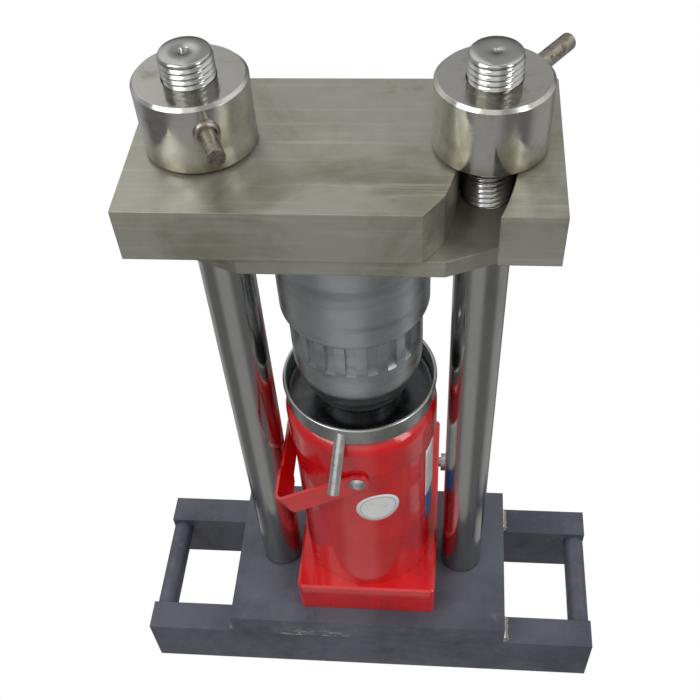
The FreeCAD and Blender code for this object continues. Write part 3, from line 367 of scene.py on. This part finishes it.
def label_film():
    """White paper label with a blue band along its foot, under clear film."""
    s = Surface("label_film", linear(228, 229, 230), 0.3, edge=0)
    foot = LABEL_FOOT + LABEL_BAND
    s.tint(linear(40, 104, 168), s.axis("Z").between(foot - 0.0004, foot + 0.0004, 1, 0))
    s.tint(linear(196, 196, 196), s.noise(120, 4, 0.6).between(0.5, 0.72, 0, 0.4))
    s.set("Coat Weight", 0.5)
    return s.material


# ------------------------------------------------------------------ mesh helpers
def add_mesh(name, points, faces, material, body):
    mesh = bpy.data.meshes.new(name)
    mesh.from_pydata([tuple(point) for point in points], [], [tuple(face) for face in faces])
    mesh.validate()
    mesh.polygons.foreach_set("use_smooth", [True] * len(mesh.polygons))
    mesh.materials.append(material)
    piece = bpy.data.objects.new(name, mesh)
    bpy.context.scene.collection.objects.link(piece)
    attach(piece, body)
    return piece


def grid_faces(rows, columns, wrap_rows=False, wrap_columns=False, start=0):
    """Quads over a grid of points, each quad turning left along the columns."""
    row = np.arange(rows if wrap_rows else rows - 1)[:, None]
    column = np.arange(columns if wrap_columns else columns - 1)[None, :]
    next_row, next_column = (row + 1) % rows, (column + 1) % columns
    quads = np.stack([row * columns + column, row * columns + next_column,
                      next_row * columns + next_column, next_row * columns + column], -1)
    return (quads.reshape(-1, 4) + start).tolist()


def lathe(profile, segments, wave):
    """Points and faces of a closed body turned about Z from (radius, height) rows, lowest first.

    wave(angles, radius, height) gives a row's radii; the first and last rows are poles.
    """
    angles = np.linspace(0, 2 * math.pi, segments, endpoint=False)
    rings = []
    for radius, height in profile[1:-1]:
        radii = wave(angles, radius, height)
        rings.append(np.stack([radii * np.cos(angles), radii * np.sin(angles),
                               np.full(segments, height)], 1))
    count = len(rings)
    points = np.concatenate([*rings, [[0, 0, profile[0][1]], [0, 0, profile[-1][1]]]])
    faces = grid_faces(count, segments, wrap_columns=True)
    low, high, last = count * segments, count * segments + 1, (count - 1) * segments
    faces += [(low, (i + 1) % segments, i) for i in range(segments)]
    faces += [(high, last + i, last + (i + 1) % segments) for i in range(segments)]
    return points, faces


def threaded(pitch, depth, core_zones):
    """A wave for lathe(): within each (low, high, radius) zone, a helical thread cut by depth.

    radius(angle, z) = r - depth * |2 frac(z / pitch - angle / 2 pi) - 1| ** 0.8, faded over half
    a turn at both ends of the zone.
    """
    def wave(angles, radius, height):
        for low, high, full in core_zones:
            if low <= height <= high and radius <= full + 1e-6:
                phase = np.mod(height / pitch - angles / (2 * math.pi), 1.0)
                fade = min(1.0, (height - low) / (pitch / 2), (high - height) / (pitch / 2))
                ridge = full - depth * fade * np.abs(2 * phase - 1) ** 0.8
                return np.minimum(ridge, radius)
        return np.full(len(angles), radius)
    return wave


# ------------------------------------------------------------------ columns with their threads
def column(node, hole, material):
    """One column: foot thread, chromed bar, upper thread, chamfered end with its centre hole."""
    low, high = (np.array(corner, dtype=float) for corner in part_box(node))
    middle = (low + high) / 2
    plate_top = float(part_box("base_plate")[1][2])
    shoulder = float(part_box("flange_plate")[0][2])
    foot, top = low[2], high[2]
    bar, shank, stud = BAR_RADIUS, SHANK_RADIUS, STUD_RADIUS
    rows = [(0, foot), (0.0005, foot), (shank - 0.0015, foot)]
    rows += [(shank, z) for z in np.linspace(foot + 0.0015, plate_top - 0.0002, 150)]
    rows += [(shank, plate_top), (bar - 0.0004, plate_top), (bar, plate_top + 0.0004)]
    rows += [(bar, z) for z in np.linspace(plate_top + 0.004, shoulder - 0.004, 12)]
    rows += [(bar, shoulder - 0.0006), (bar - 0.0006, shoulder), (stud, shoulder)]
    rows += [(stud, z) for z in np.linspace(shoulder + 0.0005, top - 0.0022, 430)]
    rows += [(stud - 0.0002, top - 0.0018), (stud - 0.0010, top - 0.0008), (stud - 0.0018, top)]
    rows += [(hole + 0.0006, top), (hole, top - 0.0006), (hole, top - 2 * hole)]
    rows += [(0, top - 2.6 * hole)]
    zones = [(shoulder + 0.0005, top - 0.0005, stud), (foot, plate_top - FOOT_THREAD_STOP, shank)]
    points, faces = lathe(rows, 72, threaded(THREAD_PITCH, THREAD_DEPTH, zones))
    points[:, :2] += middle[:2]
    piece = add_mesh(node + "_threaded", points, faces, material, "frame")
    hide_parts(node)


# ------------------------------------------------------------------ welds
def bead_points(length, leg, seed, rows=64, section=10):
    """Points of a fillet weld along Y, in its own corner at the origin, legs towards +X and +Z.

    The face is an arc between the legs, with ripples about 2.5 mm apart that bow along the run.
    """
    rng = np.random.default_rng(seed)
    along = np.linspace(-length / 2, length / 2, rows)
    wander = np.interp(along, np.linspace(-length / 2, length / 2, 9), rng.uniform(-0.12, 0.12, 9))
    points = []
    for y, drift in zip(along, wander):
        ends = min(1.0, 0.45 + 8 * (length / 2 - abs(y)) / length)
        for turn in np.linspace(0, math.pi / 2, section):
            ripple = 0.09 * math.sin(2 * math.pi * (y + 0.0012 * math.sin(2 * turn)) / RIPPLE)
            reach = leg * ends * (1 + drift + ripple)
            bulge = 0.78 + 0.22 * abs(math.cos(2 * turn))
            points.append((reach * bulge * math.cos(turn), y, reach * bulge * math.sin(turn)))
        points.append((0.0, y, 0.0))
    return np.array(points), rows, section + 1


def welds(material):
    """The four beads that join the base plate's ends to the rails."""
    plate_low, plate_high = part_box("base_plate")
    rail_top = float(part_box("front_rail")[1][2])
    points, faces = [], []
    for side, x in ((-1, plate_low[0]), (1, plate_high[0])):
        for rail in ("front_rail", "rear_rail"):
            low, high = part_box(rail)
            length = high[1] - low[1] - WELD_INSET
            body, rows, ring = bead_points(length, WELD_LEG, len(points) + 5)
            start = sum(len(part) for part in points)
            body[:, 0] *= side
            quads = grid_faces(rows, ring, wrap_columns=True, start=start)
            caps = [tuple(range(start, start + ring)),
                    tuple(range(start + (rows - 1) * ring, start + rows * ring))[::-1]]
            run = quads + caps
            faces += [face[::-1] for face in run] if side > 0 else run
            points.append(body + np.array([x, (low[1] + high[1]) / 2, rail_top]))
    piece = add_mesh("plate_weld_runs", np.concatenate(points), faces, material, "frame")
    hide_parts("weld_beads")


def root_weld(name, nut, bar, body, material, seed):
    """A lumpy weld collar round a tommy bar where it leaves its nut."""
    nut_middle, bar_middle = centre(nut), centre(bar)
    way = Vector((*(bar_middle - nut_middle)[:2], 0)).normalized()
    across = Vector((-way.y, way.x, 0))
    up = Vector((0, 0, 1))
    rng = np.random.default_rng(seed)
    ring, section = 48, 9
    heights = rng.uniform(-1, 1, ring // 6 + 1)
    lumps = 1 + 0.16 * np.interp(np.arange(ring), np.arange(0, ring + 1, 6), heights)
    lumps[-3:] = lumps[0]
    points = []
    for step in range(ring):
        turn = 2 * math.pi * step / ring
        offset = across * math.cos(turn) + up * math.sin(turn)
        for bend in np.linspace(0, 2 * math.pi, section, endpoint=False):
            radial = 0.0064 + 0.0021 * lumps[step] * math.cos(bend)
            side = radial * math.cos(turn)
            seat = math.sqrt(NUT_RADIUS ** 2 - side ** 2)
            forward = seat + 0.0006 + 0.0023 * lumps[step] * math.sin(bend)
            points.append(Vector(nut_middle) * Vector((1, 1, 0)) + up * bar_middle[2]
                          + way * forward + offset * radial)
    faces = grid_faces(ring, section, wrap_rows=True, wrap_columns=True)
    add_mesh(name, points, faces, material, body)


# ------------------------------------------------------------------ sticker and label
def on_tank(angle, height, lift):
    """A point on the tank's wall at an angle about the press axis, lifted off it."""
    radius = TANK_RADIUS + lift
    return (AXIS.x + radius * math.cos(angle), AXIS.y + radius * math.sin(angle), height)


def film(name, sheets, front, rim, material):
    """A closed film from its outer and inner sheets of points, its outer faces and its rim."""
    count = len(sheets[0])
    back = [tuple(count + index for index in face[::-1]) for face in front]
    edge = [(near, count + near, count + far, far) for near, far in zip(rim, rim[1:] + rim[:1])]
    add_mesh(name, sheets[0] + sheets[1], front + back + edge, material, "frame")


def sticker(material):
    """A round film that follows the tank."""
    ring, steps = 64, 6
    sheets = []
    for lift in (FILM, 0.00002):
        points = [on_tank(STICKER_ANGLE, STICKER_HEIGHT, lift)]
        for step in range(1, steps + 1):
            reach = STICKER_RADIUS * step / steps
            for turn in np.linspace(0, 2 * math.pi, ring, endpoint=False):
                points.append(on_tank(STICKER_ANGLE + reach * math.cos(turn) / TANK_RADIUS,
                                      STICKER_HEIGHT + reach * math.sin(turn), lift))
        sheets.append(points)
    front = [(0, 1 + i, 1 + (i + 1) % ring) for i in range(ring)]
    front += [face[::-1] for face in grid_faces(steps, ring, wrap_columns=True, start=1)]
    last = 1 + (steps - 1) * ring
    film("round_sticker", sheets, front, list(range(last, last + ring)), material)


def label(material):
    """A rectangular film round the tank's right side."""
    columns, rows = 40, 12
    sheets = []
    for lift in (FILM, 0.00002):
        sheets.append([on_tank(angle, height, lift)
                       for height in np.linspace(LABEL_FOOT, LABEL_HEAD, rows)
                       for angle in np.linspace(LABEL_FROM, LABEL_TO, columns)])
    count = rows * columns
    front = [tuple(face) for face in grid_faces(rows, columns)]
    rim = [*range(columns), *[columns * row + columns - 1 for row in range(1, rows)],
           *range(count - 2, count - columns - 1, -1),
           *[columns * row for row in range(rows - 2, 0, -1)]]
    film("side_label", sheets, front, rim, material)


# ------------------------------------------------------------------ dressing
looks = {
    "frame_paint": frame_paint(), "chrome_plate": column_chrome(), "nut_steel": nut_steel(),
    "ground_steel": ground_steel(), "turned_steel": turned_steel(), "jack_paint": jack_red(),
    "tray_steel": tray_sheet(), "zinc_plate": zinc_plate(), "dark_steel": dark_steel(),
    "seal_rubber": seal_rubber(), "weld_metal": weld_metal()}
special = {"base_plate": plate_paint(), "left_tommy_bar": tommy_steel()}
special["right_tommy_bar"] = special["left_tommy_bar"]
for entry in frame["record"]["subparts"]:
    material = special.get(entry["node"], looks[entry["material_slot"]])
    NODES[entry["node"]].data.materials.clear()
    NODES[entry["node"]].data.materials.append(material)

column("left_column", 0.0035, looks["chrome_plate"])
column("right_column", 0.0016, looks["chrome_plate"])
welds(looks["weld_metal"])
tommy = special["left_tommy_bar"]
root_weld("left_root_weld", "left_nut", "left_tommy_bar", "left_nut", tommy, 3)
root_weld("right_root_weld", "right_nut", "right_tommy_bar", "right_nut", tommy, 8)
sticker(sticker_film())
label(label_film())


# ------------------------------------------------------------------ light and camera
def world():
    """White behind the press; reflections show a bright ceiling over a grey room with bays."""
    sky = bpy.data.worlds.new("studio")
    bpy.context.scene.world = sky
    sky.use_nodes = True
    tree = sky.node_tree
    tree.nodes.clear()
    way = tree.nodes.new("ShaderNodeTexCoord").outputs["Generated"]
    split = tree.nodes.new("ShaderNodeSeparateXYZ")
    tree.links.new(way, split.inputs[0])
    height = Value(tree, split.outputs["Z"])
    turn = Value(tree, split.outputs["Y"]).calc("ARCTAN2", Value(tree, split.outputs["X"]))
    bays = (turn * 3.0 + 0.6).calc("SINE").between(-0.6, 0.7, 0.45, 1.0)
    level = height.between(-0.15, 0.75, 0.42, 1.15) * bays
    room = tree.nodes.new("ShaderNodeBackground")
    tree.links.new(level.socket, room.inputs["Strength"])
    room.inputs["Color"].default_value = (1, 1, 0.99, 1)
    seen = tree.nodes.new("ShaderNodeBackground")
    seen.inputs["Color"].default_value = (1, 1, 1, 1)
    mix = tree.nodes.new("ShaderNodeMixShader")
    path = tree.nodes.new("ShaderNodeLightPath")
    tree.links.new(path.outputs["Is Camera Ray"], mix.inputs["Fac"])
    tree.links.new(room.outputs[0], mix.inputs[1])
    tree.links.new(seen.outputs[0], mix.inputs[2])
    tree.links.new(mix.outputs[0], tree.nodes.new("ShaderNodeOutputWorld").inputs["Surface"])


def lamp(name, place, aim, size, energy):
    data = bpy.data.lights.new(name, "AREA")
    data.shape = "RECTANGLE"
    data.size, data.size_y = size
    data.energy = energy
    lamp_object = bpy.data.objects.new(name, data)
    lamp_object.location = place
    lamp_object.rotation_euler = (Vector(aim) - Vector(place)).to_track_quat("-Z", "Y").to_euler()
    bpy.context.scene.collection.objects.link(lamp_object)


def camera():
    """The picture's camera, above the press and a little to its right, looking down 53 degrees."""
    data = bpy.data.cameras.new("camera")
    data.lens, data.sensor_width = 51.02, 36.0
    data.shift_x, data.shift_y = -0.01486, 0.1453
    data.clip_start, data.clip_end = 0.01, 20
    holder = bpy.data.objects.new("camera", data)
    yaw, tilt, roll = math.radians(7.443), math.radians(37.104), math.radians(-4.115)
    turn = (Matrix.Rotation(yaw, 4, "Z") @ Matrix.Rotation(tilt, 4, "X")
            @ Matrix.Rotation(roll, 4, "Z"))
    holder.matrix_world = Matrix.Translation(AXIS + Vector((0.06313, -0.51316, 0.93774))) @ turn
    bpy.context.scene.collection.objects.link(holder)
    bpy.context.scene.camera = holder


world()
lamp("window", (-0.9, -0.7, 1.5), (0, 0, 0.35), (0.9, 0.9), 9)
lamp("strip", (0.9, -0.5, 0.9), (0, 0, 0.4), (0.3, 1.0), 4)
camera()
bpy.context.scene.view_settings.view_transform = "Standard"
